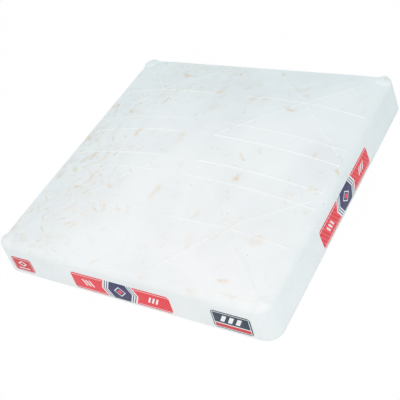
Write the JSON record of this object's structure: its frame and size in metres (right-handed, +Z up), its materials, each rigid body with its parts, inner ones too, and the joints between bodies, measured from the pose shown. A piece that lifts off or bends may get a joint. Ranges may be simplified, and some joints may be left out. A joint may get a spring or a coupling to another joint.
{
  "type": "baseball base",
  "caption": "Square field base with a crowned, ridged rubber cover over foam and a steel frame, on a height-adjustable square post that drops into a ground anchor.",
  "frame": {"origin": "on the post's axis at ground level, which is the level of the cover's underside", "axes": "+Z up out of the ground; the front side with three labels faces -Y, the side with one label faces +X"},
  "size_m": [0.4576, 0.4576, 0.2225],
  "materials": {
    "white_rubber": "satin moulded rubber with clay marks",
    "grey_foam": "closed-cell foam",
    "galvanised_steel": "hot-dip galvanised",
    "zinc_plate": "bright zinc plated",
    "red_label": "printed vinyl",
    "strip_label": "printed vinyl, red and navy",
    "navy_label": "printed vinyl, navy and red"
  },
  "bodies": {
    "stanchion": {"stanchion_post": "galvanised_steel"},
    "base": {"rubber_cover": "white_rubber", "foam_core": "grey_foam", "frame_rail_front": "galvanised_steel", "frame_rail_right": "galvanised_steel", "frame_rail_back": "galvanised_steel", "frame_rail_left": "galvanised_steel", "frame_arm_back_right": "galvanised_steel", "frame_arm_back_left": "galvanised_steel", "frame_arm_front_left": "galvanised_steel", "frame_arm_front_right": "galvanised_steel", "post_socket": "galvanised_steel", "socket_top_plate": "galvanised_steel", "clamp_nut": "zinc_plate", "cover_screw_1": "zinc_plate", "cover_screw_2": "zinc_plate", "cover_screw_3": "zinc_plate", "cover_screw_4": "zinc_plate", "cover_screw_5": "zinc_plate", "cover_screw_6": "zinc_plate", "cover_screw_7": "zinc_plate", "cover_screw_8": "zinc_plate", "cover_washer_1": "zinc_plate", "cover_washer_2": "zinc_plate", "cover_washer_3": "zinc_plate", "cover_washer_4": "zinc_plate", "cover_washer_5": "zinc_plate", "cover_washer_6": "zinc_plate", "cover_washer_7": "zinc_plate", "cover_washer_8": "zinc_plate", "label_small_front": "red_label", "label_strip_front": "strip_label", "label_patch_front": "navy_label", "label_strip_side": "strip_label"},
    "clamp_bolt": {"clamp_bolt": "zinc_plate"}
  },
  "joints": [
    {"name": "base_height", "type": "slide", "parent": "stanchion", "child": "base", "axis": [0, 0, 1], "range_m": [0, 0.0254]},
    {"name": "clamp_bolt_turn", "type": "hinge", "parent": "base", "child": "clamp_bolt", "pos_m": [0, -0.0274, 0.0247], "axis": [0, -1, 0], "range_deg": [0, 360]}
  ]
}
